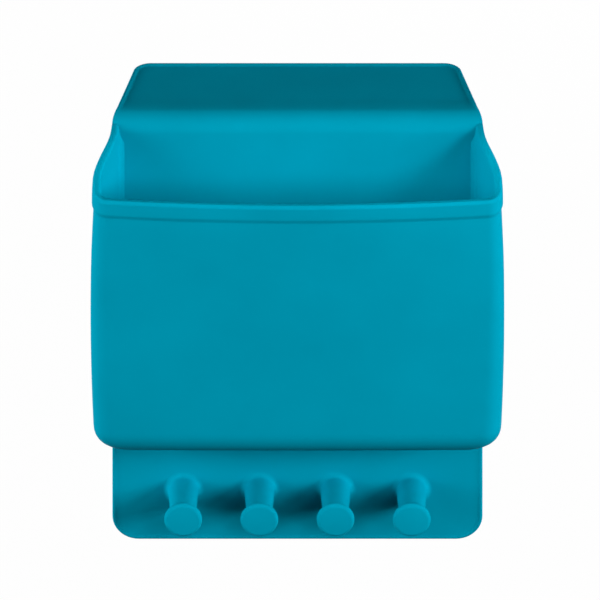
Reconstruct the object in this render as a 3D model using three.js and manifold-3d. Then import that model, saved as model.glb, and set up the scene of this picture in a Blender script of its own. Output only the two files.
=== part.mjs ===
// Silicone sink caddy: a moulded sheet that hooks over a counter edge by its bent-back flap, with an
// open pocket on its front and four pegs below the pocket.
// Millimetres, +Z up, the front facing -Y. The origin is the middle of the flap's flat underside.
// Inside the model, y = 0 is the back face of the panel and z = 0 is the underside of the flap.

import * as THREE from "three";
import { mergeVertices } from "three/addons/utils/BufferGeometryUtils.js";
import Module from "manifold-3d";

const wasm = await Module();
wasm.setup();

// Sheet: flap, bend and back panel
const SHEET_WIDTH = 160;
const SHEET_THICKNESS = 3.5;
const LIP_WIDTH = 2.4;
const LIP_HEIGHT = 0.8;
const BEND_INNER_RADIUS = 7;
const FLAP_REACH = 44.5; // from the panel's back face to the flap's rear edge
const FLAP_TAPER = 10.3; // how much narrower the flap's rear is, on each side
const FLAP_CORNER_RADIUS = 6;
const PANEL_CORNER_RADIUS = 12;
const PANEL_MARGIN = 25.2; // from the pegs' axes down to the panel's bottom edge

// Pocket
const POCKET_DEPTH = 45; // from the panel's front face to the middle of the front wall, at the rim
const FLOOR_DEPTH = 36; // and at the floor
const POCKET_HEIGHT = 132.2; // from the top of the front rim to the underside of the floor
const POCKET_FLARE = 8.2; // how far each side wall swings out past the sheet's edge
const FLARE_START = 0.48; // pull of the side walls' curve at the sheet, as a share of its depth
const FLARE_END = 0.4; // and where it runs into the corners
const POCKET_SWELL = 1.2; // extra flare at half height
const RIM_CORNER_RADIUS = 6; // corners between the front and side walls, at the rim
const FLOOR_CORNER_RADIUS = 9; // and at the floor
const RIM_BOW = 5.4; // how far the front wall's middle stands before its ends, at the rim
const FLOOR_BOW = 0.8; // and at the floor
const WALL = 2.8;
const FLOOR_THICKNESS = 3.5;
const FLOOR_RADIUS = 13; // outer rounding between the walls and the floor
const FRONT_RIM_DROP = 13.9; // front rim below the flap's underside
const SIDE_RIM_RISE = 1.5; // side rims above the flap's underside, where they meet the fold
const RIM_SWEEP = 38; // distance before the sheet over which the side rims sweep down
const RIM_HEIGHT = 7.6;
const RIM_PROUD = 0.9;
const RIM_EDGE_RADIUS = 1.6;

// Drain holes in the pocket floor
const DRAIN_COUNT = 5;
const DRAIN_PITCH = 26;
const DRAIN_DIAMETER = 7;

// Pegs
const PEG_COUNT = 4;
const PEG_SIDE_MARGIN = 30.5; // from the sheet's side edges to the outer pegs' axes
const PEG_DROP = 34.4; // pegs' axes below the underside of the pocket floor
const PEG_LENGTH = 27.4;
const PEG_STEM_DIAMETER = 11.8;
const PEG_HEAD_DIAMETER = 16.2;
const PEG_HEAD_THICKNESS = 2.8;
const PEG_ROOT_RADIUS = 3.6; // fillet where the stem grows out of the panel
const PEG_NECK_RADIUS = 1; // fillet under the head

// Gap left between two pieces that meet on a curved seam
const SEAM = 0.3;

// Faceting
const BEND_STEPS = 12;
const SIDE_STEPS = 10;
const CORNER_STEPS = 5;
const BOW_STEPS = 6;
const LEVEL_STEPS = 6;
const FILLET_STEPS = 6;
const MOUTH_STEPS = 14;
const ROUND_SEGMENTS = 28;
const HOLE_SEGMENTS = 20;

// Overshoot of cutting tools past the solid that they cut
const OVERSHOOT = 5;

// Places worked out from the sizes above
const HALF_WIDTH = SHEET_WIDTH / 2;
const FRONT_FACE = -SHEET_THICKNESS;
const BEND_OUTER_RADIUS = BEND_INNER_RADIUS + SHEET_THICKNESS;
const BEND_LENGTH = (BEND_OUTER_RADIUS * Math.PI) / 2;
const FLAP_FRONT = BEND_INNER_RADIUS;
const FLAP_SLOPE = FLAP_TAPER / (BEND_LENGTH / 2 + FLAP_REACH - FLAP_FRONT);
const PANEL_TOP = -BEND_INNER_RADIUS;
const FLOOR_UNDERSIDE = -FRONT_RIM_DROP - POCKET_HEIGHT;
const PEG_PITCH = (SHEET_WIDTH - 2 * PEG_SIDE_MARGIN) / (PEG_COUNT - 1);
const PEG_AXIS = FLOOR_UNDERSIDE - PEG_DROP;
const PANEL_BOTTOM = PEG_AXIS - PANEL_MARGIN;
const REST_CENTRE = (FLAP_FRONT + FLAP_REACH) / 2;

// The hinge axis: the fold keeps its length when the sheet is straightened about this line.
const HINGE_OFFSET = ((BEND_INNER_RADIUS + SHEET_THICKNESS / 2) * Math.PI) / 4;
const HINGE_Y = BEND_INNER_RADIUS - HINGE_OFFSET;
const HINGE_Z = -BEND_INNER_RADIUS + HINGE_OFFSET;

const SILICONE_TEAL = 0x008ea8;
const SILICONE_ROUGHNESS = 0.55;

// Turns a closed geometry into a solid for joining and cutting.
function solid(geometry) {
  const bare = new THREE.BufferGeometry();
  bare.setAttribute("position", geometry.getAttribute("position"));
  bare.setIndex(geometry.index);
  const merged = mergeVertices(bare, 1e-4);
  const mesh = new wasm.Mesh({
    numProp: 3,
    vertProperties: merged.getAttribute("position").array,
    triVerts: new Uint32Array(merged.index.array),
  });
  return new wasm.Manifold(mesh);
}

// Turns a solid back into a geometry.
function geometryOf(body) {
  const mesh = body.getMesh();
  const geometry = new THREE.BufferGeometry();
  geometry.setAttribute("position", new THREE.BufferAttribute(mesh.vertProperties, 3));
  geometry.setIndex(new THREE.BufferAttribute(mesh.triVerts, 1));
  return geometry;
}

// Skins a row of equal rings into a closed solid, with a fan over each end ring.
function loft(rings) {
  const count = rings[0].length;
  const points = rings.flat();
  const faces = [];
  for (let row = 0; row + 1 < rings.length; row += 1) {
    for (let i = 0; i < count; i += 1) {
      const a = row * count + i;
      const b = row * count + ((i + 1) % count);
      faces.push(a, b, b + count, a, b + count, a + count);
    }
  }
  const last = (rings.length - 1) * count;
  const startHub = points.push(ringCentre(rings[0])) - 1;
  const endHub = points.push(ringCentre(rings[rings.length - 1])) - 1;
  for (let i = 0; i < count; i += 1) {
    const next = (i + 1) % count;
    faces.push(startHub, next, i, endHub, last + i, last + next);
  }
  const geometry = new THREE.BufferGeometry().setFromPoints(points);
  geometry.setIndex(faces);
  return solid(geometry);
}

function ringCentre(ring) {
  const sum = new THREE.Vector3();
  ring.forEach((point) => sum.add(point));
  return sum.divideScalar(ring.length);
}

// Extrudes a plan (x, y) shape upwards from a level.
function upwards(shape, level, height) {
  const options = { depth: height, bevelEnabled: false, curveSegments: FILLET_STEPS };
  return solid(new THREE.ExtrudeGeometry(shape, options).translate(0, 0, level));
}

// Extrudes a front-view (x, z) shape forwards from a face.
function forwards(shape, face, depth) {
  const options = { depth, bevelEnabled: false, curveSegments: FILLET_STEPS };
  const geometry = new THREE.ExtrudeGeometry(shape, options).rotateX(Math.PI / 2);
  return solid(geometry.translate(0, face, 0));
}

// Extrudes a side-view (y, z) outline across the whole width of the caddy.
function across(points) {
  const width = 2 * (HALF_WIDTH + POCKET_FLARE + POCKET_SWELL + RIM_PROUD + OVERSHOOT);
  const options = { depth: width, bevelEnabled: false };
  const geometry = new THREE.ExtrudeGeometry(new THREE.Shape(points), options);
  geometry.translate(0, 0, -width / 2);
  const toSide = new THREE.Matrix4().makeBasis(
    new THREE.Vector3(0, 1, 0),
    new THREE.Vector3(0, 0, 1),
    new THREE.Vector3(1, 0, 0),
  );
  return solid(geometry.applyMatrix4(toSide));
}

// Half width of the sheet at a turn of the bend, from 0 at the panel to 1 at the flap.
function bendHalfWidth(turn) {
  return HALF_WIDTH - (FLAP_SLOPE * BEND_LENGTH * turn * turn) / 2;
}

// The lip rises out of the sheet along the bend.
function bendLipHeight(turn) {
  return LIP_HEIGHT * THREE.MathUtils.smoothstep(turn, 0, 1);
}

// A point of the bend, at a radius from its centre line.
function bendPoint(x, radius, turn) {
  const angle = (turn * Math.PI) / 2;
  const y = BEND_INNER_RADIUS - radius * Math.cos(angle);
  const z = -BEND_INNER_RADIUS + radius * Math.sin(angle);
  return new THREE.Vector3(x, y, z);
}

// A band of the bend; section(turn) gives its edges x1, x2 and its radii inner, outer.
function bendBand(section) {
  const rings = [];
  for (let step = 0; step <= BEND_STEPS; step += 1) {
    const turn = step / BEND_STEPS;
    const { x1, x2, inner, outer } = section(turn);
    rings.push([
      bendPoint(x1, inner, turn),
      bendPoint(x1, outer, turn),
      bendPoint(x2, outer, turn),
      bendPoint(x2, inner, turn),
    ]);
  }
  return loft(rings);
}

function flapBend() {
  const sheet = bendBand((turn) => ({
    x1: -bendHalfWidth(turn),
    x2: bendHalfWidth(turn),
    inner: BEND_INNER_RADIUS,
    outer: BEND_OUTER_RADIUS,
  }));
  const lipAt = (side) =>
    bendBand((turn) => {
      const edge = bendHalfWidth(turn);
      return {
        x1: side > 0 ? edge - LIP_WIDTH : -edge,
        x2: side > 0 ? edge : LIP_WIDTH - edge,
        inner: BEND_OUTER_RADIUS - SHEET_THICKNESS / 2,
        outer: BEND_OUTER_RADIUS + bendLipHeight(turn),
      };
    });
  return geometryOf(sheet.add(lipAt(-1)).add(lipAt(1)));
}

// Plan of the flap, drawn in by an inset, from its front edge to its rounded rear corners.
function flapPlan(inset, front) {
  const lean = Math.hypot(1, FLAP_SLOPE);
  const radius = FLAP_CORNER_RADIUS - inset;
  const halfAt = (y) => bendHalfWidth(1) - FLAP_SLOPE * (y - FLAP_FRONT) - inset * lean;
  const cornerY = FLAP_REACH - FLAP_CORNER_RADIUS;
  const cornerX = halfAt(cornerY) - radius * lean;
  const sideAngle = Math.atan(FLAP_SLOPE);
  const shape = new THREE.Shape();
  shape.moveTo(-halfAt(front), front);
  shape.lineTo(halfAt(front), front);
  shape.absarc(cornerX, cornerY, radius, sideAngle, Math.PI / 2);
  shape.absarc(-cornerX, cornerY, radius, Math.PI / 2, Math.PI - sideAngle);
  return shape;
}

function counterFlap() {
  const top = SHEET_THICKNESS + LIP_HEIGHT;
  const blank = upwards(flapPlan(0, FLAP_FRONT), 0, top);
  const recess = upwards(flapPlan(LIP_WIDTH, FLAP_FRONT - OVERSHOOT), SHEET_THICKNESS, top);
  return geometryOf(blank.subtract(recess)).translate(0, -HINGE_Y, -HINGE_Z);
}

// Front view of the panel, drawn in by an inset, with rounded lower corners.
function panelFront(inset, top) {
  const half = HALF_WIDTH - inset;
  const radius = PANEL_CORNER_RADIUS - inset;
  const cornerX = HALF_WIDTH - PANEL_CORNER_RADIUS;
  const cornerZ = PANEL_BOTTOM + PANEL_CORNER_RADIUS;
  const shape = new THREE.Shape();
  shape.moveTo(half, top);
  shape.lineTo(-half, top);
  shape.absarc(-cornerX, cornerZ, radius, Math.PI, 1.5 * Math.PI);
  shape.absarc(cornerX, cornerZ, radius, 1.5 * Math.PI, 2 * Math.PI);
  return shape;
}

function backPanel() {
  const plate = forwards(panelFront(0, PANEL_TOP), 0, SHEET_THICKNESS);
  const lipDepth = SHEET_THICKNESS / 2 + LIP_HEIGHT;
  const lipBlank = forwards(panelFront(0, PANEL_TOP), FRONT_FACE / 2, lipDepth);
  const recess = forwards(panelFront(LIP_WIDTH, PANEL_TOP + OVERSHOOT), 0, 2 * lipDepth);
  const lip = lipBlank.subtract(recess).subtract(pouch(-SEAM, FLOOR_UNDERSIDE - SEAM));
  return geometryOf(plate.add(lip));
}

// Extra flare of the pouch at a level, most at half height.
function swellAt(level) {
  const middle = FLOOR_UNDERSIDE + POCKET_HEIGHT / 2;
  const share = (level - middle) / (POCKET_HEIGHT / 2);
  return POCKET_SWELL * Math.max(0, 1 - share * share);
}

// Bow of the front wall at a level, dying out towards the floor.
function bowAt(level) {
  const share = THREE.MathUtils.smoothstep(level, FLOOR_UNDERSIDE, -FRONT_RIM_DROP);
  return THREE.MathUtils.lerp(FLOOR_BOW, RIM_BOW, share);
}

// Depth of the pouch at a level: the front wall leans back towards the floor.
function depthAt(level) {
  const share = THREE.MathUtils.clamp((level - FLOOR_UNDERSIDE) / POCKET_HEIGHT, 0, 1);
  return THREE.MathUtils.lerp(FLOOR_DEPTH, POCKET_DEPTH, share);
}

// Radius of the corners between the front and side walls at a level, tighter towards the rim.
function cornerAt(level) {
  const share = THREE.MathUtils.smoothstep(level, FLOOR_UNDERSIDE, -FRONT_RIM_DROP);
  return THREE.MathUtils.lerp(FLOOR_CORNER_RADIUS, RIM_CORNER_RADIUS, share);
}

// Plan of the pouch at a level, drawn in by an inset: points from the right end, behind the panel's
// front face, round the bowed front to the left end. Here y is the distance before the front face.
function pouchPlan(level, inset, corner) {
  const back = HALF_WIDTH - inset;
  const front = HALF_WIDTH + POCKET_FLARE + swellAt(level) - inset;
  const bow = bowAt(level);
  const bowRadius = (front * front) / (2 * bow) + bow / 2;
  const bowCentre = depthAt(level) - inset - bowRadius;
  const cornerX = front - corner;
  const cornerY = bowCentre + Math.sqrt((bowRadius - corner) ** 2 - cornerX ** 2);
  const bowAngle = Math.atan2(cornerY - bowCentre, cornerX);
  const behind = new THREE.Vector2(back, -SHEET_THICKNESS - OVERSHOOT);
  const side = new THREE.CubicBezierCurve(
    new THREE.Vector2(back, 0),
    new THREE.Vector2(back, cornerY * FLARE_START),
    new THREE.Vector2(front, cornerY * FLARE_END),
    new THREE.Vector2(front, cornerY),
  );
  const turn = new THREE.EllipseCurve(cornerX, cornerY, corner, corner, 0, bowAngle);
  const face = new THREE.EllipseCurve(0, bowCentre, bowRadius, bowRadius, bowAngle, Math.PI / 2);
  const right = [
    behind,
    ...side.getPoints(SIDE_STEPS),
    ...turn.getPoints(CORNER_STEPS).slice(1),
    ...face.getPoints(BOW_STEPS).slice(1),
  ];
  const left = right.slice(0, -1).map((point) => new THREE.Vector2(-point.x, point.y));
  return [...right, ...left.reverse()];
}

// The full body of the pouch, drawn in by an inset, down to a floor level with a rounded edge.
function pouch(inset, floor) {
  const rounding = FLOOR_RADIUS - inset;
  const top = SHEET_THICKNESS + OVERSHOOT;
  const ringAt = (level, drawnIn) =>
    pouchPlan(level, inset + drawnIn, cornerAt(level) - inset)
      .map((point) => new THREE.Vector3(point.x, FRONT_FACE - point.y, level))
      .reverse();
  const rings = [];
  for (let step = 0; step < FILLET_STEPS; step += 1) {
    const angle = ((step / FILLET_STEPS) * Math.PI) / 2;
    const level = floor + rounding * (1 - Math.cos(angle));
    rings.push(ringAt(level, rounding * (1 - Math.sin(angle))));
  }
  for (let step = 0; step <= LEVEL_STEPS; step += 1) {
    const level = THREE.MathUtils.lerp(floor + rounding, -FRONT_RIM_DROP, step / LEVEL_STEPS);
    rings.push(ringAt(level, 0));
  }
  rings.push(ringAt(top, 0));
  return loft(rings);
}

// Height of the mouth's edge at a distance before the panel's front face.
function mouthHeight(distance) {
  const share = THREE.MathUtils.smoothstep(distance, 0, RIM_SWEEP);
  return THREE.MathUtils.lerp(SIDE_RIM_RISE, -FRONT_RIM_DROP, share);
}

// Everything above the mouth's edge, moved down by a drop.
function aboveMouth(drop) {
  const top = SHEET_THICKNESS + 2 * OVERSHOOT;
  const rear = OVERSHOOT;
  const points = [new THREE.Vector2(rear, mouthHeight(0) - drop)];
  for (let step = 0; step <= MOUTH_STEPS; step += 1) {
    const distance = (POCKET_DEPTH * step) / MOUTH_STEPS;
    points.push(new THREE.Vector2(FRONT_FACE - distance, mouthHeight(distance) - drop));
  }
  const front = FRONT_FACE - POCKET_DEPTH - OVERSHOOT;
  points.push(new THREE.Vector2(front, -FRONT_RIM_DROP - drop));
  points.push(new THREE.Vector2(front, top), new THREE.Vector2(rear, top));
  return across(points.reverse());
}

// The sheet, its bend and all behind them, swollen by the seam, as the pocket's back cut.
function sheetSeat() {
  const bottom = FLOOR_UNDERSIDE - OVERSHOOT;
  const rear = BEND_INNER_RADIUS + OVERSHOOT;
  const points = [new THREE.Vector2(rear, bottom), new THREE.Vector2(FRONT_FACE - SEAM, bottom)];
  for (let step = 0; step <= BEND_STEPS; step += 1) {
    const turn = step / BEND_STEPS;
    const edge = bendPoint(0, BEND_OUTER_RADIUS + bendLipHeight(turn) + SEAM, turn);
    points.push(new THREE.Vector2(edge.y, edge.z));
  }
  points.push(new THREE.Vector2(rear, SHEET_THICKNESS + LIP_HEIGHT + SEAM));
  return across(points.reverse());
}

function pocketShell() {
  const cavity = pouch(WALL, FLOOR_UNDERSIDE + FLOOR_THICKNESS);
  let shell = pouch(0, FLOOR_UNDERSIDE).subtract(cavity);
  shell = shell.subtract(aboveMouth(RIM_HEIGHT + SEAM)).subtract(sheetSeat());
  const drain = new THREE.CylinderGeometry(
    DRAIN_DIAMETER / 2,
    DRAIN_DIAMETER / 2,
    FLOOR_THICKNESS + 2 * OVERSHOOT,
    HOLE_SEGMENTS,
  ).rotateX(Math.PI / 2);
  const drainY = FRONT_FACE - (FLOOR_DEPTH - FLOOR_RADIUS) / 2;
  for (let i = 0; i < DRAIN_COUNT; i += 1) {
    const x = (i - (DRAIN_COUNT - 1) / 2) * DRAIN_PITCH;
    shell = shell.subtract(solid(drain.clone().translate(x, drainY, FLOOR_UNDERSIDE)));
  }
  return geometryOf(shell);
}

// Section of the rim band: outward distance from the pouch's wall and height from the mouth's edge.
function rimSection() {
  const r = RIM_EDGE_RADIUS;
  const corners = [
    [RIM_PROUD - r, -r, 0],
    [r - WALL, -r, Math.PI / 2],
    [r - WALL, r - RIM_HEIGHT, Math.PI],
    [RIM_PROUD - r, r - RIM_HEIGHT, 1.5 * Math.PI],
  ];
  return corners.flatMap(([x, y, start]) =>
    new THREE.EllipseCurve(x, y, r, r, start, start + Math.PI / 2).getPoints(CORNER_STEPS - 2),
  );
}

function rimBand() {
  const plan = pouchPlan(-FRONT_RIM_DROP, 0, RIM_CORNER_RADIUS);
  const section = rimSection();
  const rings = plan.map((point, i) => {
    const before = plan[Math.max(i - 1, 0)];
    const after = plan[Math.min(i + 1, plan.length - 1)];
    const along = new THREE.Vector2().subVectors(after, before).normalize();
    return section.map(({ x, y }) => {
      const outX = point.x + along.y * x;
      const outY = point.y - along.x * x;
      return new THREE.Vector3(outX, FRONT_FACE - outY, mouthHeight(outY) + y);
    });
  });
  return geometryOf(loft(rings).subtract(sheetSeat()));
}

// A peg stands on the panel's front face: a lathe profile of radius and distance along the axis.
function peg() {
  const stem = PEG_STEM_DIAMETER / 2;
  const head = PEG_HEAD_DIAMETER / 2;
  const round = PEG_HEAD_THICKNESS / 2;
  const headBack = PEG_LENGTH - PEG_HEAD_THICKNESS;
  const root = new THREE.EllipseCurve(
    stem + PEG_ROOT_RADIUS,
    PEG_ROOT_RADIUS,
    PEG_ROOT_RADIUS,
    PEG_ROOT_RADIUS,
    1.5 * Math.PI,
    Math.PI,
    true,
  );
  const neck = new THREE.EllipseCurve(
    stem + PEG_NECK_RADIUS,
    headBack - PEG_NECK_RADIUS,
    PEG_NECK_RADIUS,
    PEG_NECK_RADIUS,
    Math.PI,
    Math.PI / 2,
    true,
  );
  const edge = new THREE.EllipseCurve(
    head - round,
    headBack + round,
    round,
    round,
    -Math.PI / 2,
    Math.PI / 2,
  );
  const profile = [
    new THREE.Vector2(0, 0),
    ...root.getPoints(FILLET_STEPS),
    ...neck.getPoints(CORNER_STEPS - 2),
    ...edge.getPoints(FILLET_STEPS),
    new THREE.Vector2(0, PEG_LENGTH),
  ];
  const geometry = new THREE.LatheGeometry(profile, ROUND_SEGMENTS).rotateX(Math.PI);
  return geometryOf(solid(geometry));
}

function siliconePart(name, geometry) {
  geometry.computeVertexNormals();
  const material = new THREE.MeshStandardMaterial({
    color: SILICONE_TEAL,
    roughness: SILICONE_ROUGHNESS,
    metalness: 0,
  });
  const mesh = new THREE.Mesh(geometry, material);
  mesh.name = name;
  return mesh;
}

const caddy = new THREE.Group();
caddy.position.y = -REST_CENTRE;

const flapHinge = new THREE.Group();
flapHinge.position.set(0, HINGE_Y, HINGE_Z);
flapHinge.add(siliconePart("counter_flap", counterFlap()));
caddy.add(flapHinge);

caddy.add(siliconePart("flap_bend", flapBend()));
caddy.add(siliconePart("back_panel", backPanel()));
caddy.add(siliconePart("pocket_shell", pocketShell()));
caddy.add(siliconePart("rim_band", rimBand()));

for (let i = 0; i < PEG_COUNT; i += 1) {
  const mesh = siliconePart(`peg_${i + 1}`, peg());
  mesh.position.set((i - (PEG_COUNT - 1) / 2) * PEG_PITCH, FRONT_FACE, PEG_AXIS);
  caddy.add(mesh);
}

const part = new THREE.Group();
part.add(caddy);

export default part;
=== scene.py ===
"""Looks of the sink caddy: one moulded silicone sheet, its pouch and four pegs, in metres."""

import logging
import math
from collections.abc import Callable, Iterator
from contextlib import contextmanager
from dataclasses import dataclass
from enum import Enum

import bmesh
import bpy
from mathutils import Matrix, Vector


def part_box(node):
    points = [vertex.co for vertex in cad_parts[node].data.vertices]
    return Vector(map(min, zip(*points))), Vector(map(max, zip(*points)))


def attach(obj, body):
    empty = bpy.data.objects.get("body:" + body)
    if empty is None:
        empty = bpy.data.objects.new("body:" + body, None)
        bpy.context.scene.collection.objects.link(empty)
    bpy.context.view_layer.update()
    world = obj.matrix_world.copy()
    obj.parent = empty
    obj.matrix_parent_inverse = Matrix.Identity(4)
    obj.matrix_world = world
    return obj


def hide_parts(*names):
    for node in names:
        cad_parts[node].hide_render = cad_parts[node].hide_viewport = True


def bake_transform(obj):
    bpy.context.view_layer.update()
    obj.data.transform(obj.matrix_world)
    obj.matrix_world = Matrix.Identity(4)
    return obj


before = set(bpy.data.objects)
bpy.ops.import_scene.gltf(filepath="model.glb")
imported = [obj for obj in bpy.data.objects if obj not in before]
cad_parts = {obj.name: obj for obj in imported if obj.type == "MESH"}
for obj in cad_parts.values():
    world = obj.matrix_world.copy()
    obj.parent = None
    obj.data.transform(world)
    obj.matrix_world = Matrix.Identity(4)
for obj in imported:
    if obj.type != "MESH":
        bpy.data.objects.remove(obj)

MM = 0.001
TINY = 0.01 * MM
NEAR = 0.1 * MM
HARD_TURN = math.radians(50)
SOFT_TURN = math.radians(30)
SLIGHT_TURN = math.radians(20)

PlaceTest = Callable[[Vector], bool]
FaceTest = Callable[[Vector, Vector], bool]
Rule = Callable[[Vector], Vector]

log = logging.getLogger("caddy")


class Body(Enum):
    """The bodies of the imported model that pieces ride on."""

    CADDY = "caddy"
    FLAP = "flap"


class Pick(Enum):
    """What a selection in edit mode is made of."""

    VERTICES = "VERT"
    EDGES = "EDGE"
    FACES = "FACE"


def ease(value: float, low: float, high: float) -> float:
    """Eases from 0 at low to 1 at high, level at both ends."""
    share = min(1.0, max(0.0, (value - low) / (high - low)))
    return share * share * (3 - 2 * share)


@contextmanager
def editing(piece: bpy.types.Object) -> Iterator[None]:
    """Holds one piece in edit mode for the length of a with block.

    Args:
        piece: The mesh object to shape.
    """
    make_active(piece)
    bpy.ops.object.mode_set(mode="EDIT")
    yield
    bpy.ops.object.mode_set(mode="OBJECT")


def make_active(piece: bpy.types.Object) -> None:
    """Selects one piece alone and makes it the active one."""
    bpy.ops.object.select_all(action="DESELECT")
    piece.select_set(True)
    bpy.context.view_layer.objects.active = piece


def fresh_mesh(kind: Pick) -> bmesh.types.BMesh:
    """Sets the selection mode and clears the selection of the piece in edit mode.

    Args:
        kind: What the next selection is made of.

    Returns:
        The mesh in edit mode, with nothing selected.
    """
    bpy.ops.mesh.select_mode(type=kind.value)
    bpy.ops.mesh.select_all(action="DESELECT")
    return bmesh.from_edit_mesh(bpy.context.edit_object.data)


def show_selection(mesh: bmesh.types.BMesh) -> None:
    """Hands a selection made in code over to the operators."""
    mesh.select_flush_mode()
    bmesh.update_edit_mesh(bpy.context.edit_object.data)


def pick_vertices(test: PlaceTest) -> None:
    """Selects the vertices whose place passes a test.

    Args:
        test: Says whether a place belongs to the selection.
    """
    mesh = fresh_mesh(Pick.VERTICES)
    for vertex in mesh.verts:
        vertex.select_set(test(vertex.co))
    show_selection(mesh)


def pick_edges(test: PlaceTest, least_angle: float = 0.0) -> None:
    """Selects the edges whose two ends pass a test.

    Args:
        test: Says whether a place belongs to the selection.
        least_angle: Where above zero, only edges between two faces that turn by more than this.
    """
    mesh = fresh_mesh(Pick.EDGES)
    for edge in mesh.edges:
        inside = all(test(vertex.co) for vertex in edge.verts)
        sharp = least_angle == 0.0 or edge.calc_face_angle(0.0) > least_angle
        edge.select_set(inside and sharp)
    show_selection(mesh)


def pick_faces(test: FaceTest) -> None:
    """Selects the faces whose middle and normal pass a test.

    Args:
        test: Says whether a middle and a normal belong to the selection.
    """
    mesh = fresh_mesh(Pick.FACES)
    mesh.normal_update()
    for face in mesh.faces:
        face.select_set(test(face.calc_center_median(), face.normal))
    show_selection(mesh)


def nudge(rule: Rule) -> None:
    """Moves each selected vertex by a rule of its place, as a sculpt stroke does.

    Args:
        rule: Gives the new place for an old one.
    """
    mesh = bmesh.from_edit_mesh(bpy.context.edit_object.data)
    for vertex in mesh.verts:
        if vertex.select:
            vertex.co = rule(vertex.co)
    bmesh.update_edit_mesh(bpy.context.edit_object.data)


def cut(point: tuple[float, float, float], normal: tuple[float, float, float]) -> None:
    """Cuts the whole mesh in edit mode along a plane."""
    bpy.ops.mesh.select_all(action="SELECT")
    bpy.ops.mesh.bisect(plane_co=point, plane_no=normal)


def draw_out(move: tuple[float, float, float]) -> None:
    """Extrudes the selection and moves the new part."""
    bpy.ops.mesh.extrude_region_move(TRANSFORM_OT_translate={"value": move})


def raise_faces(height: float) -> None:
    """Extrudes the selected faces along their normals."""
    bpy.ops.mesh.extrude_region_shrink_fatten(TRANSFORM_OT_shrink_fatten={"value": height})


def round_edges(radius: float, steps: int) -> None:
    """Rounds the selected edges."""
    bpy.ops.mesh.bevel(offset=radius, segments=steps, affect="EDGES", clamp_overlap=True)


def round_corners(radius: float, steps: int) -> None:
    """Rounds the selected corner vertices in the plane of their face."""
    bpy.ops.mesh.bevel(offset=radius, segments=steps, affect="VERTICES")


def standing_plane(name: str, low: Vector, high: Vector) -> bpy.types.Object:
    """Adds an upright plane that faces the front.

    Args:
        name: Name of the piece.
        low: Its lower left corner.
        high: Its upper right corner, at the same y.

    Returns:
        The plane, with its place in its mesh.
    """
    bpy.ops.object.select_all(action="DESELECT")
    middle = (low + high) / 2
    bpy.ops.mesh.primitive_plane_add(size=1, location=middle, rotation=(math.pi / 2, 0, 0))
    bpy.ops.transform.resize(value=(high.x - low.x, 1, high.z - low.z))
    bpy.ops.object.transform_apply(location=True, rotation=True, scale=True)
    piece = bpy.context.active_object
    piece.name = name
    return piece


def apply_modifier(piece: bpy.types.Object, kind: str, **settings: object) -> None:
    """Adds a modifier with its settings and applies it.

    Args:
        piece: The piece to change.
        kind: The modifier's type.
        settings: The modifier's properties.
    """
    make_active(piece)
    modifier = piece.modifiers.new(kind.lower(), kind)
    for key, value in settings.items():
        setattr(modifier, key, value)
    bpy.ops.object.modifier_apply(modifier=modifier.name)


def thicken(piece: bpy.types.Object, thickness: float) -> None:
    """Gives a surface a wall on its inner side."""
    apply_modifier(
        piece,
        "SOLIDIFY",
        thickness=thickness,
        offset=-1.0,
        use_even_offset=True,
        use_quality_normals=True,
    )


def smooth_shade(piece: bpy.types.Object) -> None:
    """Shades a piece smooth except over hard turns, led by its large faces."""
    make_active(piece)
    bpy.ops.object.shade_smooth_by_angle(angle=HARD_TURN)
    apply_modifier(piece, "WEIGHTED_NORMAL", mode="FACE_AREA", weight=50, keep_sharp=True)


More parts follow.
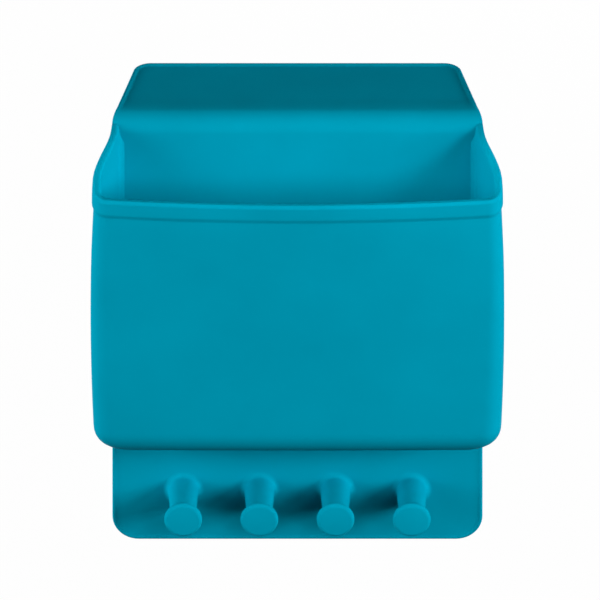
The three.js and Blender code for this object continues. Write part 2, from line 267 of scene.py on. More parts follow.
@dataclass(frozen=True)
class TealSilicone:
    """Satin moulded silicone: one deep teal, slightly uneven, with a fine matt skin."""

    deep: tuple[float, float, float, float] = (0.0, 0.274, 0.4, 1.0)
    light: tuple[float, float, float, float] = (0.0, 0.294, 0.428, 1.0)
    gloss_tint: tuple[float, float, float, float] = (0.05, 0.62, 0.76, 1.0)
    gloss: float = 0.006
    smooth: float = 0.46
    rough: float = 0.58
    cloud_scale: float = 28.0
    skin_scale: float = 1400.0
    wave_scale: float = 55.0
    skin_depth: float = 0.02 * MM
    wave_depth: float = 0.12 * MM
    ior: float = 1.41
    cloud_low: float = 0.3
    cloud_high: float = 0.7

    def material(self) -> bpy.types.Material:
        """Builds the finish as shader nodes.

        Returns:
            The material, on Object coordinates.
        """
        material = bpy.data.materials.new("teal_silicone_satin")
        material.use_nodes = True
        nodes = material.node_tree.nodes
        links = material.node_tree.links
        shader = nodes["Principled BSDF"]
        shader.inputs["Metallic"].default_value = 0.0
        shader.inputs["IOR"].default_value = self.ior
        shader.inputs["Specular IOR Level"].default_value = self.gloss
        shader.inputs["Specular Tint"].default_value = self.gloss_tint
        place = nodes.new("ShaderNodeTexCoord")
        clouds = self.noise(material, place, self.cloud_scale, detail=3.0)
        skin = self.noise(material, place, self.skin_scale, detail=2.0)
        wave = self.noise(material, place, self.wave_scale, detail=1.0)

        tone = nodes.new("ShaderNodeValToRGB")
        tone.color_ramp.elements[0].position = self.cloud_low
        tone.color_ramp.elements[0].color = self.deep
        tone.color_ramp.elements[1].position = self.cloud_high
        tone.color_ramp.elements[1].color = self.light
        links.new(clouds.outputs["Fac"], tone.inputs["Fac"])
        links.new(tone.outputs["Color"], shader.inputs["Base Color"])

        matt = nodes.new("ShaderNodeMapRange")
        matt.inputs["From Min"].default_value = self.cloud_low
        matt.inputs["From Max"].default_value = self.cloud_high
        matt.inputs["To Min"].default_value = self.smooth
        matt.inputs["To Max"].default_value = self.rough
        links.new(clouds.outputs["Fac"], matt.inputs["Value"])
        links.new(matt.outputs["Result"], shader.inputs["Roughness"])

        slow = nodes.new("ShaderNodeBump")
        slow.inputs["Strength"].default_value = 1.0
        slow.inputs["Distance"].default_value = self.wave_depth
        links.new(wave.outputs["Fac"], slow.inputs["Height"])
        fine = nodes.new("ShaderNodeBump")
        fine.inputs["Strength"].default_value = 1.0
        fine.inputs["Distance"].default_value = self.skin_depth
        links.new(skin.outputs["Fac"], fine.inputs["Height"])
        links.new(slow.outputs["Normal"], fine.inputs["Normal"])
        links.new(fine.outputs["Normal"], shader.inputs["Normal"])
        return material

    def noise(
        self,
        material: bpy.types.Material,
        place: bpy.types.Node,
        scale: float,
        detail: float,
    ) -> bpy.types.Node:
        """Adds a noise pattern on Object coordinates.

        Args:
            material: The material that gets the node.
            place: Its texture coordinate node.
            scale: Patches in a metre.
            detail: Octaves of finer noise.

        Returns:
            The noise node.
        """
        node = material.node_tree.nodes.new("ShaderNodeTexNoise")
        node.inputs["Scale"].default_value = scale
        node.inputs["Detail"].default_value = detail
        material.node_tree.links.new(place.outputs["Object"], node.inputs["Vector"])
        return node


@dataclass
class Sheet:
    """The sheet that hooks over the counter edge: panel, fold and flap in one moulding."""

    back: float
    half_width: float = 79.7 * MM
    lower_half_width: float = 80.4 * MM
    thickness: float = 3.5 * MM
    bottom: float = -205.7 * MM
    bend: float = 7 * MM
    reach: float = 44.5 * MM
    fold_half_width: float = 77.3 * MM
    rear_half_width: float = 69.4 * MM
    fold_bulge: float = 0.5 * MM
    panel_corner: float = 11.5 * MM
    flap_corner: float = 6 * MM
    lip_top: float = 1.6 * MM
    lip_ramp: float = 1.0 * MM
    side_lip: float = 0.7 * MM
    rear_lip: float = 0.79 * MM
    panel_lip: float = 0.35 * MM
    lip_start: float = -137 * MM
    lip_rise: float = 12 * MM
    crown_before: float = 7 * MM
    crown_behind: float = 4.5 * MM
    rear_lip_near: float = 2 * MM
    rear_lip_far: float = 14 * MM
    flap_cuts: tuple[float, ...] = (8 * MM, 14 * MM, 33 * MM)
    wall_reach: float = 5 * MM
    edge_radius: float = 0.7 * MM
    edge_band: float = 0.3 * MM
    fold_steps: int = 32
    arc_radius: float = 8 * MM
    crest: float = 0.2 * MM
    crest_run: float = 7.5 * MM
    crest_steps: int = 5
    crest_from: float = 0.6

    @property
    def front(self) -> float:
        """Where the panel's front face stands."""
        return self.back - self.thickness

    @property
    def fold_y(self) -> float:
        """Where the fold's zone ends and the flap starts."""
        return self.back + self.bend

    @property
    def fold_z(self) -> float:
        """Level of the panel's top, where the fold's zone starts."""
        return -self.bend

    @property
    def fold_radius(self) -> float:
        """Size of the fold's zone, from the panel's front back and from its top up."""
        return self.bend + self.thickness

    @property
    def rear(self) -> float:
        """Where the flap ends."""
        return self.back + self.reach

    @property
    def arc_start(self) -> float:
        """Level at which the panel starts to turn."""
        return self.thickness - self.arc_radius

    def build(self) -> bpy.types.Object:
        """Models the sheet from one upright plane.

        Returns:
            The finished mesh object.
        """
        low = Vector((-self.half_width, self.front, self.bottom))
        high = Vector((self.half_width, self.front, self.fold_z))
        piece = standing_plane("silicone_sheet", low, high)
        with editing(piece):
            self.draw_outline()
            self.mark_lip()
        thicken(piece, self.thickness)
        with editing(piece):
            self.raise_lip()
            self.soften_edges()
        smooth_shade(piece)
        return piece

    def draw_outline(self) -> None:
        """Turns the fold out of the panel, draws the flap back and rounds all four corners."""
        pick_vertices(lambda place: place.z < self.bottom + MM)
        wider = self.lower_half_width / self.half_width
        bpy.ops.transform.resize(value=(wider, 1, 1), center_override=(0, 0, 0))
        round_corners(self.panel_corner, steps=12)
        pick_edges(lambda place: place.z > self.fold_z - MM)
        bpy.ops.mesh.spin(
            steps=self.fold_steps,
            angle=math.pi / 2,
            center=(0, self.fold_y, self.fold_z),
            axis=(1, 0, 0),
        )
        for _ in range(self.crest_steps):
            draw_out((0, self.crest_run / self.crest_steps, 0))
        draw_out((0, self.rear - self.fold_y - self.crest_run, 0))
        pick_vertices(lambda place: place.z > self.fold_z and place.y < self.fold_y + NEAR)
        nudge(self.folded)
        pick_vertices(lambda place: place.z > self.fold_z)
        nudge(self.crested)
        nudge(self.narrowed)
        pick_vertices(lambda place: place.y > self.rear - MM)
        round_corners(self.flap_corner, steps=10)

    def folded(self, place: Vector) -> Vector:
        """Turns the wide quarter round into a tighter one between two short flats.

        Args:
            place: A point of the quarter round's show side.

        Returns:
            Its place on the panel, on the tighter round or on the flap.
        """
        flat = self.fold_radius - self.arc_radius
        arc = self.arc_radius * math.pi / 2
        along = self.turn_at(place) * (2 * flat + arc)
        angle = min(max(0.0, along - flat) / self.arc_radius, math.pi / 2)
        y = self.front + self.arc_radius * (1 - math.cos(angle)) + max(0.0, along - flat - arc)
        z = self.fold_z + min(along, flat) + self.arc_radius * math.sin(angle)
        return Vector((place.x, y, z))

    def crested(self, place: Vector) -> Vector:
        """Lifts the sheet a little where it turns down, as soft silicone stands up over an edge.

        Args:
            place: A point of the quarter round or of the flap.

        Returns:
            Its place on the low crest along the fold.
        """
        lift = self.crest * ease(self.turn_at(place), self.crest_from, 1)
        lift *= 1 - ease(place.y - self.fold_y, 0, self.crest_run)
        return place + Vector((0, 0, lift))

    def turn_at(self, place: Vector) -> float:
        """Share of the fold at a place: 0 on the panel, 1 on the flap."""
        if place.y >= self.fold_y:
            return 1.0
        angle = math.atan2(place.z - self.fold_z, self.fold_y - place.y)
        return min(1.0, max(0.0, angle / (math.pi / 2)))

    def half_at(self, place: Vector) -> float:
        """Half width of the sheet at a place.

        Args:
            place: A point of the sheet.

        Returns:
            The distance from the middle to the side edge.
        """
        turn = self.turn_at(place)
        low = max(0.0, (self.fold_z - place.z) / (self.fold_z - self.bottom))
        fold = self.half_width + (self.lower_half_width - self.half_width) * low
        fold -= (self.half_width - self.fold_half_width) * turn**2
        fold += self.fold_bulge * math.sin(math.pi * turn) ** 2
        share = max(0.0, (place.y - self.fold_y) / (self.rear - self.fold_y))
        return fold - (self.fold_half_width - self.rear_half_width) * share

    def narrowed(self, place: Vector) -> Vector:
        """Place of a side vertex once the flap narrows to the rear."""
        return Vector((math.copysign(self.half_at(place), place.x), place.y, place.z))

    def margin(self, place: Vector) -> float:
        """Distance of a place inside the sheet's outline.

        Args:
            place: A point of the sheet.

        Returns:
            The distance to the nearest edge, measured along the sheet.
        """
        side = self.half_at(place) - abs(place.x)
        if place.z < self.fold_z:
            end, corner = place.z - self.bottom, self.panel_corner
        elif place.y > self.fold_y:
            end, corner = self.rear - place.y, self.flap_corner
        else:
            return side
        if side < corner and end < corner:
            return corner - math.hypot(corner - side, corner - end)
        return min(side, end)

    def outward(self, place: Vector) -> Vector:
        """Direction out of the sheet's show side at a place."""
        angle = self.turn_at(place) * math.pi / 2
        return Vector((0, -math.cos(angle), math.sin(angle)))

    def mark_lip(self) -> None:
        """Insets two borders all round and cuts the sheet where its lip changes height."""
        for width in (self.lip_top, self.lip_ramp):
            bpy.ops.mesh.select_all(action="SELECT")
            bpy.ops.mesh.inset(thickness=width, use_boundary=True, use_even_offset=True)
            bpy.ops.mesh.select_all(action="INVERT")
            bpy.ops.mesh.hide(unselected=False)
        bpy.ops.mesh.reveal()
        for level in (self.lip_start, self.lip_start - self.lip_rise):
            cut((0, 0, level), (0, 0, 1))
        for distance in self.flap_cuts:
            cut((0, self.rear - distance, 0), (0, 1, 0))

    def lip_at(self, place: Vector) -> float:
        """Height of the lip at a place.

        Args:
            place: A point of the sheet's outline.

        Returns:
            The height above the sheet: none beside the pouch, most at the flap's rear.
        """
        if place.z < self.fold_z:
            return self.panel_lip * ease(self.lip_start - place.z, 0, self.lip_rise)
        crown = (self.turn_at(place) - 1) * self.fold_radius * math.pi / 2
        crown += max(0.0, place.y - self.fold_y)
        side = self.side_lip * ease(crown, -self.crown_before, self.crown_behind)
        along = ease(self.rear - place.y, self.rear_lip_near, self.rear_lip_far)
        return self.rear_lip + (side - self.rear_lip) * along

    def on_show_side(self, place: Vector) -> bool:
        """Whether a place is on the face that looks to the front and up."""
        if place.z < self.fold_z:
            return place.y < self.front + MM
        if place.y > self.fold_y:
            return place.z > self.thickness - MM
        radius = math.hypot(place.y - self.fold_y, place.z - self.fold_z)
        return radius > self.fold_radius - MM

    def raise_lip(self) -> None:
        """Raises the outer border, so that the inner one becomes a soft ramp."""
        border = self.lip_top + 2 * NEAR
        pick_vertices(lambda place: self.on_show_side(place) and self.margin(place) < border)
        nudge(lambda place: place + self.outward(place) * self.lip_at(place))

    def soften_edges(self) -> None:
        """Rounds the free edges of the sheet."""
        pick_edges(self.on_free_edge, HARD_TURN)
        round_edges(self.edge_radius, steps=4)

    def on_free_edge(self, place: Vector) -> bool:
        """Whether a place is on the outline, away from the pouch's walls."""
        beside_pouch = self.lip_start - MM < place.z < self.fold_z + self.wall_reach
        covered = beside_pouch and self.on_show_side(place)
        return self.margin(place) < self.edge_band and not covered

    def dress(self, piece: bpy.types.Object, finish: bpy.types.Material) -> None:
        """Gives the sheet its finish, hides the solids that it stands in for and bakes its place
        into its mesh.

        Args:
            piece: The modelled sheet.
            finish: The silicone.
        """
        piece.data.materials.append(finish)
        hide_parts("back_panel", "flap_bend", "counter_flap")
        self.front + self.thickness / 2
        self.fold_y + 3 * MM
        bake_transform(piece)


@dataclass
class Pouch:
    """The open pouch on the panel's front: bowed wall, flared sides, rounded floor and proud rim."""

    sheet: Sheet
    half_back: float = 79.7 * MM
    half_front: float = 87.5 * MM
    flare_from: float = -1 * MM
    flare_to: float = 27.5 * MM
    swell: float = 1.6 * MM
    tuck: float = 0.45 * MM
    tuck_from: float = 0.7
    tuck_to: float = 0.95
    depth: float = 45 * MM
    floor_depth: float = 36 * MM
    rim_corner: float = 6 * MM
    floor_corner: float = 9 * MM
    rim_bow: float = 5.4 * MM
    floor_bow: float = 0.8 * MM
    wall: float = 2.8 * MM
    front_mouth: float = -14.6 * MM
    side_mouth: float = 0.0
    sweep: float = 39.5 * MM
    sweep_power: float = 1.15
    sweep_foot: float = -64 * MM
    meet_run: float = 9 * MM
    floor: float = -146.1 * MM
    floor_radius: float = 14.2 * MM
    rim_height: float = 8.9 * MM
    rim_proud: float = 0.9 * MM
    rim_slope: float = 1.2 * MM
    rim_foot: float = 1.6 * MM
    rim_fade: float = 14 * MM
    rim_sink: float = 0.96
    slope_from: float = -4 * MM
    slope_to: float = 9 * MM
    mouth_band: float = 2.6 * MM
    foot_band: float = 2.4 * MM
    foot_round: float = 0.45
    outer_facing: float = 0.3
    outer_round: float = 1.7 * MM
    inner_round: float = 1.5 * MM
    inner_fillet: float = 3.2 * MM
    fillet_fade_from: float = -9 * MM
    fillet_fade_to: float = -1 * MM
    sunk: float = 1.3 * MM
    end_tuck: float = 0.6 * MM
    front_columns: int = 12
    corner_steps: int = 9
    side_steps: int = 18
    side_crowding: float = 2.2
    floor_steps: int = 9
    drain_count: int = 5
    drain_pitch: float = 26 * MM
    drain_radius: float = 3.5 * MM
    drain_segments: int = 40
    drain_distance: float = 11.5 * MM

    @property
    def back(self) -> float:
        """Where the panel's front face stands, on which the pouch grows."""
        return self.sheet.front

    @property
    def straight_depth(self) -> float:
        """Depth of the pouch at the ends of its bowed front, at the rim."""
        return self.depth - self.rim_bow

    def build(self) -> bpy.types.Object:
        """Models the right half of the pouch, mirrors it and gives it its wall.

        Returns:
            The finished mesh object.
        """
        wall_end = self.floor + self.floor_radius
        front = self.back - self.straight_depth
        low = Vector((0, front, wall_end))
        high = Vector((self.half_front - self.rim_corner, front, self.front_mouth))
        piece = standing_plane("silicone_pouch", low, high)
        with editing(piece):
            self.draw_walls(front)
            self.cut_levels(wall_end)
            bpy.ops.mesh.select_all(action="SELECT")
            nudge(self.moulded)
            self.draw_floor(wall_end)
        apply_modifier(piece, "MIRROR", use_axis=(True, False, False), merge_threshold=TINY)
        with editing(piece):
            pick_vertices(lambda place: place.z < self.floor + TINY)
            bpy.ops.mesh.edge_face_add()
        thicken(piece, self.wall)
        with editing(piece):
            self.tuck_ends()
            self.fill_inner_corners()
            self.raise_rim()
            self.soften_rim()
        self.drill_drains(piece)
        smooth_shade(piece)
        return piece

    def draw_walls(self, front: float) -> None:
        """Cuts the front into columns, spins the corner and draws the side wall back.

        Args:
            front: Where the flat front plane stands.
        """
        axis_x = self.half_front - self.rim_corner
        for column in range(1, self.front_columns):
            cut((axis_x * column / self.front_columns, 0, 0), (1, 0, 0))
        pick_edges(lambda place: place.x > axis_x - NEAR)
        bpy.ops.mesh.spin(
            steps=self.corner_steps,
            angle=-math.pi / 2,
            center=(axis_x, front + self.rim_corner, 0),
            axis=(0, 0, 1),
        )
        reach = self.back - (front + self.rim_corner)
        done = 0.0
        for step in range(1, self.side_steps + 1):
            stop = 1 - (1 - step / self.side_steps) ** self.side_crowding
            draw_out((0, reach * (stop - done), 0))
            done = stop
        draw_out((0, self.sunk, 0))

    def cut_levels(self, wall_end: float) -> None:
        """Cuts the walls into level rows, closer together under the rim.

        Args:
            wall_end: The level where the floor's rounding starts.
        """
        rim_end = self.front_mouth - self.rim_height
        shares = [0.0, 0.06, 0.13, 0.21, 0.3, 0.4, 0.5, 0.6, 0.7, 0.8, 0.9]
        for share in shares:
            level = rim_end + (wall_end - rim_end) * share
            cut((0, 0, level), (0, 0, 1))

    def mouth_at(self, distance: float) -> float:
        """Height of the mouth's edge at a distance before the panel."""
        to_go = 1 - min(1.0, max(0.0, distance / self.sweep))
        return self.front_mouth + (self.side_mouth - self.front_mouth) * to_go**self.sweep_power

    def depth_at(self, level: float) -> float:
        """Depth of the leaning front wall at a share of the pouch's height."""
        return self.floor_depth + (self.depth - self.floor_depth) * level

    def open_at(self, distance: float) -> float:
        """Share of the side walls' flare at a distance before the panel."""
        return ease(distance, self.flare_from, self.flare_to)

    def rounder(self, place: Vector, level: float) -> tuple[float, float]:
        """Widens the corner between front and side wall towards the floor.

        Args:
            place: A place on the straight walls.
            level: Its share of the pouch's height.

        Returns:
            Its new x and its new distance before the panel.
        """
        x, distance = place.x, self.back - place.y
        axis_x = self.half_front - self.rim_corner
        axis_distance = self.straight_depth - self.rim_corner
        wider = (self.floor_corner - self.rim_corner) * (1 - ease(level, 0, 1))
        growth = 1 + wider / self.rim_corner
        beyond = max(0.0, x - axis_x), max(0.0, distance - axis_distance)
        x = min(x, axis_x) * (axis_x - wider) / axis_x + beyond[0] * growth
        distance = min(distance, axis_distance) * (axis_distance - wider) / axis_distance
        return x, distance + beyond[1] * growth

    def behind_panel(self, level: float) -> float:
        """How far the fold's outer face lies behind the panel's front face at a level."""
        radius = self.sheet.arc_radius
        above = min(max(0.0, level - self.sheet.arc_start), radius)
        return radius - math.sqrt(radius * radius - above * above)

    def moulded(self, place: Vector) -> Vector:
        """Place of a wall vertex once the walls bow, flare and swell and the mouth sweeps up.

        Args:
            place: Its place on the straight walls.

        Returns:
            Its place on the moulded walls.
        """
        level = (place.z - self.floor) / (self.front_mouth - self.floor)
        x, distance = self.rounder(place, level)
        deep = self.straight_depth
        bow = self.floor_bow + (self.rim_bow - self.floor_bow) * ease(level, 0, 1)
        swell = self.swell * max(0.0, 1 - (2 * level - 1) ** 2)

        on_front = ease(distance, deep - self.floor_corner, deep)
        crown = bow * max(0.0, 1 - (x / self.half_front) ** 2)
        moved = distance + crown * on_front
        moved += (self.rim_bow - bow) * max(0.0, distance) / deep

        open_up = self.open_at(distance)
        flare = self.half_front - self.half_back
        x += x * swell * open_up / self.half_front - flare * (1 - open_up)
        drawn_in = self.tuck * ease(level, self.tuck_from, self.tuck_to)
        x -= x * drawn_in * open_up / self.half_front

        rise = self.mouth_at(moved) - self.front_mouth
        held = ease(place.z, self.sweep_foot, self.front_mouth - self.rim_height)
        z = place.z + rise * held
        if moved > 0:
            moved *= self.depth_at(level) / self.depth
        close = 1 - ease(moved, 0, self.meet_run)
        moved -= self.behind_panel(z) * close
        y = self.back - moved
        x -= (self.half_back - self.sheet.half_at(Vector((x, y, z)))) * close
        return Vector((x, y, z))

    def draw_floor(self, wall_end: float) -> None:
        """Draws the wall's lower edge down and in, round the floor's edge.

        Args:
            wall_end: The level where the rounding starts.
        """
        pick_vertices(lambda place: place.z < wall_end + TINY)
        deep = self.depth_at(self.floor_radius / (self.front_mouth - self.floor))
        drop, inset = 0.0, 0.0
        for step in range(1, self.floor_steps + 1):
            angle = step / self.floor_steps * math.pi / 2
            next_drop = self.floor_radius * math.sin(angle)
            next_inset = self.floor_radius * (1 - math.cos(angle))
            draw_out((0, 0, drop - next_drop))
            across = (self.half_front - next_inset) / (self.half_front - inset)
            along = (deep - next_inset) / (deep - inset)
            bpy.ops.transform.resize(
                value=(across, along, 1),
                center_override=(0, self.back, 0),
            )
            drop, inset = next_drop, next_inset

    def depth_in(self, place: Vector) -> float:
        """Distance of a place inside the outer walls, seen from above at the rim.

        Args:
            place: A point of the pouch.

        Returns:
            The distance to the nearest outer wall, less than 0 outside.
        """
        distance = self.back - place.y
        half = self.half_back + (self.half_front - self.half_back) * self.open_at(distance)
        side = half - abs(place.x)
        crown = self.rim_bow * max(0.0, 1 - (place.x / self.half_front) ** 2)
        end = self.straight_depth + crown - distance
        if side < self.rim_corner and end < self.rim_corner:
            return self.rim_corner - math.hypot(self.rim_corner - side, self.rim_corner - end)
        return min(side, end)

    def behind(self, place: Vector) -> float:
        """Distance of a place before the panel or, higher up, before the fold."""
        return self.back - place.y + self.behind_panel(place.z)

    def tuck_ends(self) -> None:
        """Draws the ends of the walls in, so that they stay hidden inside the sheet."""
        pick_vertices(lambda place: self.behind(place) < -self.sunk / 2)
        nudge(lambda place: place - Vector((math.copysign(self.end_tuck, place.x), 0, 0)))

    def in_corner(self, place: Vector) -> bool:
        """Whether a place is on the inner face of a side wall, close to the sheet."""
        near = self.behind(place) < self.inner_fillet
        inner = self.depth_in(place) > self.wall / 2
        return near and inner and place.z > self.floor + self.wall

    def fill_inner_corners(self) -> None:
        """Thickens the side walls where they run into the panel, as a moulded inner corner."""
        pick_vertices(self.in_corner)
        nudge(self.filled)

    def filled(self, place: Vector) -> Vector:
        """Place of an inner wall vertex on the rounding into the panel."""
        radius = self.inner_fillet
        to_go = radius - max(0.0, self.behind(place))
        inwards = radius - math.sqrt(max(0.0, radius * radius - to_go * to_go))
        inwards *= ease(place.z, self.floor + self.wall, self.floor + 2 * self.floor_radius)
        inwards *= 1 - ease(place.z, self.fillet_fade_from, self.fillet_fade_to)
        return Vector((place.x - math.copysign(inwards, place.x), place.y, place.z))

    def on_rim(self, middle: Vector, normal: Vector) -> bool:
        """Whether a face is on the outer side of the band under the mouth's edge."""
        distance = self.back - middle.y
        out = Vector((middle.x, middle.y - (self.back - self.depth / 2), 0)).normalized()
        level = middle.z > self.mouth_at(distance) - self.rim_height
        return level and normal.dot(out) > self.outer_facing and distance > 0

    def raise_rim(self) -> None:
        """Raises the band round the mouth, and lets it sink into the walls at the panel."""
        pick_faces(self.on_rim)
        raise_faces(self.rim_proud)
        nudge(self.settled)

    def settled(self, place: Vector) -> Vector:
        """Place of a band vertex once the band dies out at the panel and slopes at top and foot."""
        distance = self.back - place.y
        flush = 1 - ease(distance, 0, self.rim_fade)
        inwards = self.rim_sink * self.rim_proud * flush
        at_top = self.mouth_at(distance) - place.z < self.rim_height / 2
        fall = self.rim_slope * ease(distance, self.slope_from, self.slope_to)
        move = -fall if at_top else self.rim_foot
        return Vector((place.x - math.copysign(inwards, place.x), place.y, place.z + move))

    def soften_rim(self) -> None:
        """Rounds both sides of the mouth's edge and the lower edge of the band."""
        half_wall = self.wall / 2
        pick_edges(
            lambda place: self.on_mouth(place) and self.depth_in(place) < half_wall,
            SOFT_TURN,
        )
        round_edges(self.outer_round, steps=5)
        pick_edges(
            lambda place: self.on_mouth(place) and self.depth_in(place) > half_wall,
            HARD_TURN,
        )
        round_edges(self.inner_round, steps=4)
        pick_edges(self.on_band_foot, SLIGHT_TURN)
        round_edges(self.rim_foot * self.foot_round, steps=3)

    def on_mouth(self, place: Vector) -> bool:
        """Whether a place is on the mouth's edge."""
        distance = self.back - place.y
        return place.z > self.mouth_at(distance) - self.mouth_band

    def on_band_foot(self, place: Vector) -> bool:
        """Whether a place is on the lower edge of the band, where the band stands proud."""
        distance = self.back - place.y
        below = self.mouth_at(distance) - place.z
        return distance > self.rim_fade and abs(below - self.rim_height) < self.foot_band

    def drill_drains(self, piece: bpy.types.Object) -> None:
        """Drills the row of drain holes through the floor.

        Args:
            piece: The pouch.
        """
        y = self.back - self.drain_distance
        drills = []
        for i in range(self.drain_count):
            x = (i - (self.drain_count - 1) / 2) * self.drain_pitch
            bpy.ops.object.select_all(action="DESELECT")
            bpy.ops.mesh.primitive_cylinder_add(
                vertices=self.drain_segments,
                radius=self.drain_radius,
                depth=6 * self.wall,
                location=(x, y, self.floor),
            )
            drills.append(bpy.context.active_object)
        make_active(drills[0])
        for drill in drills:
            drill.select_set(True)
        bpy.ops.object.join()
        apply_modifier(piece, "BOOLEAN", object=drills[0], operation="DIFFERENCE", solver="EXACT")
        make_active(drills[0])
        bpy.ops.object.delete()

    def dress(self, piece: bpy.types.Object, finish: bpy.types.Material) -> None:
        """Gives the pouch its finish and its place on the caddy.

        Args:
            piece: The modelled pouch.
            finish: The silicone.
        """
        piece.data.materials.clear()
        piece.data.materials.append(finish)
        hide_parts("pocket_shell", "rim_band")
        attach(piece, Body.CADDY.value)


@dataclass
class PegRow:
    """Four pegs under the pouch: flared root, tapered stem and a wider, softly rounded head."""

    panel: float
    count: int = 4
    pitch: float = 33 * MM
    axis_z: float = -180.8 * MM
    length: float = 28.0 * MM
    stem: float = 5.5 * MM
    foot: float = 6.5 * MM
    head: float = 8.2 * MM
    head_thickness: float = 3.4 * MM
    root_radius: float = 2.3 * MM
    neck_radius: float = 1.2 * MM
    crown: float = 0.25 * MM
    sunk: float = 0.4 * MM
    segments: int = 48
    round_steps: int = 7
    crown_shares: tuple[float, ...] = (0.7, 0.4, 0.1)

    def profile(self) -> list[tuple[float, float]]:
        """Lays out the peg's outline from its root to the middle of its head.

        Returns:
            Pairs of radius and distance from the panel.
        """
        steps = self.round_steps
        quarter = [i / steps * math.pi / 2 for i in range(steps + 1)]
        root, neck, edge = self.root_radius, self.neck_radius, self.head_thickness / 2
        head_back = self.length - self.crown - self.head_thickness
        line = [
            (self.foot + root * (1 - math.sin(a)), root * (1 - math.cos(a)))
            for a in quarter
        ]
        line += [
            (self.stem + neck * (1 - math.cos(a)), head_back - neck + neck * math.sin(a))
            for a in quarter
        ]
        half_turn = [i / (2 * steps) * math.pi for i in range(2 * steps + 1)]
        line += [
            (self.head - edge + edge * math.sin(a), head_back + edge - edge * math.cos(a))
            for a in half_turn
        ]
        flat = self.head - edge
        line += [
            (flat * share, self.length - self.crown * share * share)
            for share in self.crown_shares
        ]
        return line

    def build(self) -> list[bpy.types.Object]:
        """Models one peg and copies it along the row.

        Returns:
            The pegs from left to right.
        """
        first = -(self.count - 1) / 2 * self.pitch
        line = self.profile()
        bpy.ops.object.select_all(action="DESELECT")
        bpy.ops.mesh.primitive_circle_add(
            vertices=self.segments,
            radius=line[0][0],
            fill_type="NGON",
            location=(first, self.panel + self.sunk, self.axis_z),
            rotation=(math.pi / 2, 0, 0),
        )
        bpy.ops.object.transform_apply(location=True, rotation=True, scale=True)
        peg = bpy.context.active_object
        with editing(peg):
            bpy.ops.mesh.select_all(action="SELECT")
            radius, distance = line[0][0], -self.sunk
            for next_radius, next_distance in line:
                draw_out((0, distance - next_distance, 0))
                share = next_radius / radius
                bpy.ops.transform.resize(
                    value=(share, 1, share),
                    center_override=(first, 0, self.axis_z),
                )
                radius, distance = next_radius, next_distance
        smooth_shade(peg)
        pegs = [peg]
        for i in range(1, self.count):
            make_active(peg)
            bpy.ops.object.duplicate()
            bpy.ops.transform.translate(value=(i * self.pitch, 0, 0))
            bpy.ops.object.transform_apply(location=True, rotation=False, scale=False)
            pegs.append(bpy.context.active_object)
        for i, each in enumerate(pegs, start=1):
            each.name = f"silicone_peg_{i}"
        return pegs

    def dress(self, pegs: list[bpy.types.Object], finish: bpy.types.Material) -> None:
        """Gives the pegs their finish and their place on the caddy.

        Args:
            pegs: The modelled pegs from left to right.
            finish: The silicone.
        """
        for i, peg in enumerate(pegs, start=1):
            peg.data.materials.append(finish)
            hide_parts(f"peg_{i}")
            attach(peg, Body.CADDY.value)


@dataclass(frozen=True)
class SoftBox:
    """A square studio lamp that looks at the caddy."""

    name: str
    azimuth: float
    elevation: float
    distance: float
    size: float
    power: float

    def place(self, target: Vector) -> None:
        """Hangs the lamp round a target.

        Args:
            target: The point that it looks at.
        """
        data = bpy.data.lights.new(self.name, "AREA")
        data.shape = "SQUARE"
        data.size = self.size
        data.energy = self.power
        hang(data, target, self.azimuth, self.elevation, self.distance)


@dataclass(frozen=True)
class Snoot:
    """A narrow soft-edged spot that reaches into the pouch over its rim."""

    name: str
    azimuth: float
    elevation: float
    angle: float
    stretch: float
    power: float
    aim: tuple[float, float, float]
    distance: float = 0.9
    radius: float = 20 * MM

    def place(self, target: Vector) -> None:
        """Hangs the lamp round a place near a target.

        Args:
            target: The point from which its own aim is measured.
        """
        data = bpy.data.lights.new(self.name, "SPOT")
        data.spot_size = math.radians(self.angle)
        data.spot_blend = 1.0
        data.shadow_soft_size = self.radius
        data.energy = self.power
        aim = target + Vector(self.aim)
        lamp = hang(data, aim, self.azimuth, self.elevation, self.distance)
        lamp.scale = (self.stretch, 1, 1)


def hang(
    data: bpy.types.Light | bpy.types.Camera,
    aim: Vector,
    azimuth: float,
    elevation: float,
    distance: float,
) -> bpy.types.Object:
    """Hangs a lamp or a camera so that it looks at a place, with its x axis level.

    Args:
        data: The light or the camera's lens.
        aim: The place that it looks at.
        azimuth: Degrees to the right of the front.
        elevation: Degrees above level.
        distance: How far off it hangs.

    Returns:
        The lamp or camera.
    """
    turn, lift = math.radians(azimuth), math.radians(elevation)
    level = math.cos(lift)
    way = Vector((level * math.sin(turn), -level * math.cos(turn), math.sin(lift)))
    hung = bpy.data.objects.new(data.name, data)
    hung.location = aim + way * distance
    hung.rotation_euler = (-way).to_track_quat("-Z", "Y").to_euler()
    bpy.context.scene.collection.objects.link(hung)
    return hung


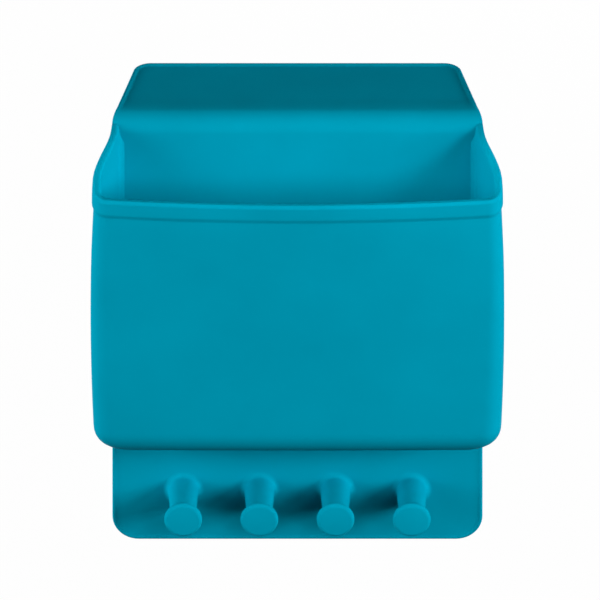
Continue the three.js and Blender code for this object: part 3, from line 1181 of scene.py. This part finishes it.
@dataclass
class Studio:
    """A pale floor, soft lamps and a long lens at the height of someone who looks into the pouch."""

    front: float
    aim_x: float = 1.1 * MM
    aim_z: float = -86.4 * MM
    floor_level: float = -450 * MM
    floor_size: float = 9.0
    lens_distance: float = 10.0
    lens_elevation: float = 29.5
    view_width: float = 259.2 * MM
    sensor_width: float = 36.0
    clip_end: float = 100.0
    ambient: float = 0.005
    floor_glow: float = 0.97

    @property
    def target(self) -> Vector:
        """The place in the panel's front face that the camera looks at and the lamps hang round."""
        return Vector((self.aim_x, self.front, self.aim_z))

    def lamps(self) -> list[SoftBox | Snoot]:
        """Lists the lamps: azimuth, elevation, distance, size and power, or a snoot's own sizes."""
        return [
            SoftBox("key_right", 53, 17.5, 1.8, 0.5, 23.0),
            SoftBox("edge_right", 75, 10, 1.8, 0.4, 15.0),
            SoftBox("front_fill", 25, 27, 1.8, 0.7, 7.0),
            SoftBox("key_left", -66, 18, 1.8, 0.7, 15.5),
            SoftBox("edge_left", -80, 4, 1.8, 0.7, 22.0),
            SoftBox("rear_fill", 170, -6, 1.8, 0.3, 26.0),
            Snoot("pouch_snoot", 0, 58, 2.0, 9.0, 33.0, (0, 0, 40 * MM)),
            Snoot("wall_snoot", -60, 30, 3.4, 1.0, 10.0, (82 * MM, -19 * MM, 57 * MM)),
        ]

    def build(self) -> None:
        """Sets up camera, floor, world and lamps."""
        self.place_camera()
        self.lay_floor()
        self.fill_world()
        for lamp in self.lamps():
            lamp.place(self.target)
        bpy.context.scene.view_settings.view_transform = "Standard"

    def place_camera(self) -> None:
        """Puts a far camera in front of the caddy, looking down on it."""
        data = bpy.data.cameras.new("camera")
        data.sensor_width = self.sensor_width
        data.lens = data.sensor_width * self.lens_distance / self.view_width
        data.clip_end = self.clip_end
        camera = hang(data, self.target, 0, self.lens_elevation, self.lens_distance)
        bpy.context.scene.camera = camera

    def lay_floor(self) -> None:
        """Lays a pale floor well below the hanging caddy."""
        bpy.ops.object.select_all(action="DESELECT")
        bpy.ops.mesh.primitive_plane_add(
            size=self.floor_size,
            location=(self.target.x, self.target.y, self.floor_level),
        )
        bpy.ops.object.transform_apply(location=True, rotation=False, scale=False)
        floor = bpy.context.active_object
        floor.name = "studio_floor"
        floor.data.materials.append(self.pale_paint())

    def pale_paint(self) -> bpy.types.Material:
        """Builds a white matt paint that reads as white behind the caddy and keeps its shadow.

        Returns:
            The material.
        """
        material = bpy.data.materials.new("studio_white")
        material.use_nodes = True
        nodes = material.node_tree.nodes
        links = material.node_tree.links
        nodes.clear()
        matt = nodes.new("ShaderNodeBsdfDiffuse")
        matt.inputs["Color"].default_value = (0.85, 0.85, 0.85, 1.0)
        glow = nodes.new("ShaderNodeEmission")
        glow.inputs["Color"].default_value = (1.0, 1.0, 1.0, 1.0)
        links.new(seen_directly(material.node_tree), glow.inputs["Strength"])
        both = nodes.new("ShaderNodeMixShader")
        both.inputs["Fac"].default_value = self.floor_glow
        out = nodes.new("ShaderNodeOutputMaterial")
        links.new(matt.outputs["BSDF"], both.inputs[1])
        links.new(glow.outputs["Emission"], both.inputs[2])
        links.new(both.outputs["Shader"], out.inputs["Surface"])
        return material

    def fill_world(self) -> None:
        """Makes the world white to the eye and a weak even light to the caddy."""
        world = bpy.data.worlds.new("studio_world")
        world.use_nodes = True
        nodes = world.node_tree.nodes
        links = world.node_tree.links
        nodes.clear()
        seen = nodes.new("ShaderNodeBackground")
        seen.inputs["Strength"].default_value = 1.0
        seen.inputs["Color"].default_value = (1.0, 1.0, 1.0, 1.0)
        light = nodes.new("ShaderNodeBackground")
        light.inputs["Strength"].default_value = self.ambient
        light.inputs["Color"].default_value = (1.0, 1.0, 1.0, 1.0)
        either = nodes.new("ShaderNodeMixShader")
        out = nodes.new("ShaderNodeOutputWorld")
        links.new(seen_directly(world.node_tree), either.inputs["Fac"])
        links.new(light.outputs["Background"], either.inputs[1])
        links.new(seen.outputs["Background"], either.inputs[2])
        links.new(either.outputs["Shader"], out.inputs["Surface"])
        bpy.context.scene.world = world


def seen_directly(tree: bpy.types.NodeTree) -> bpy.types.NodeSocket:
    """Adds nodes that tell camera, glossy and transmission rays from the rest.

    Args:
        tree: The node tree that gets them.

    Returns:
        A socket that is 1 for those rays and 0 for others.
    """
    path = tree.nodes.new("ShaderNodeLightPath")
    first = tree.nodes.new("ShaderNodeMath")
    first.operation = "MAXIMUM"
    second = tree.nodes.new("ShaderNodeMath")
    second.operation = "MAXIMUM"
    tree.links.new(path.outputs["Is Camera Ray"], first.inputs[0])
    tree.links.new(path.outputs["Is Glossy Ray"], first.inputs[1])
    tree.links.new(first.outputs["Value"], second.inputs[0])
    tree.links.new(path.outputs["Is Transmission Ray"], second.inputs[1])
    return second.outputs["Value"]


def report(piece: bpy.types.Object) -> None:
    """Logs a finished piece with its size in millimetres."""
    size = " x ".join(f"{side / MM:.1f}" for side in piece.dimensions)
    log.info("%s: %d faces, %s mm", piece.name, len(piece.data.polygons), size)


def main() -> None:
    """Builds the caddy in order and logs the size of each piece."""
    logging.basicConfig(level=logging.INFO, format="%(name)s: %(message)s")
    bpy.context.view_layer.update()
    sheet = Sheet(back=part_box("back_panel")[1].y)
    Studio(front=sheet.front).build()
    finish = TealSilicone().material()

    piece = sheet.build()
    report(piece)
    sheet.dress(piece, finish)

    pouch = Pouch(sheet)
    piece = pouch.build()
    report(piece)
    pouch.dress(piece, finish)

    row = PegRow(panel=sheet.front)
    pegs = row.build()
    for peg in pegs:
        report(peg)
    row.dress(pegs, finish)

    bpy.context.view_layer.update()


if __name__ == "__main__":
    main()
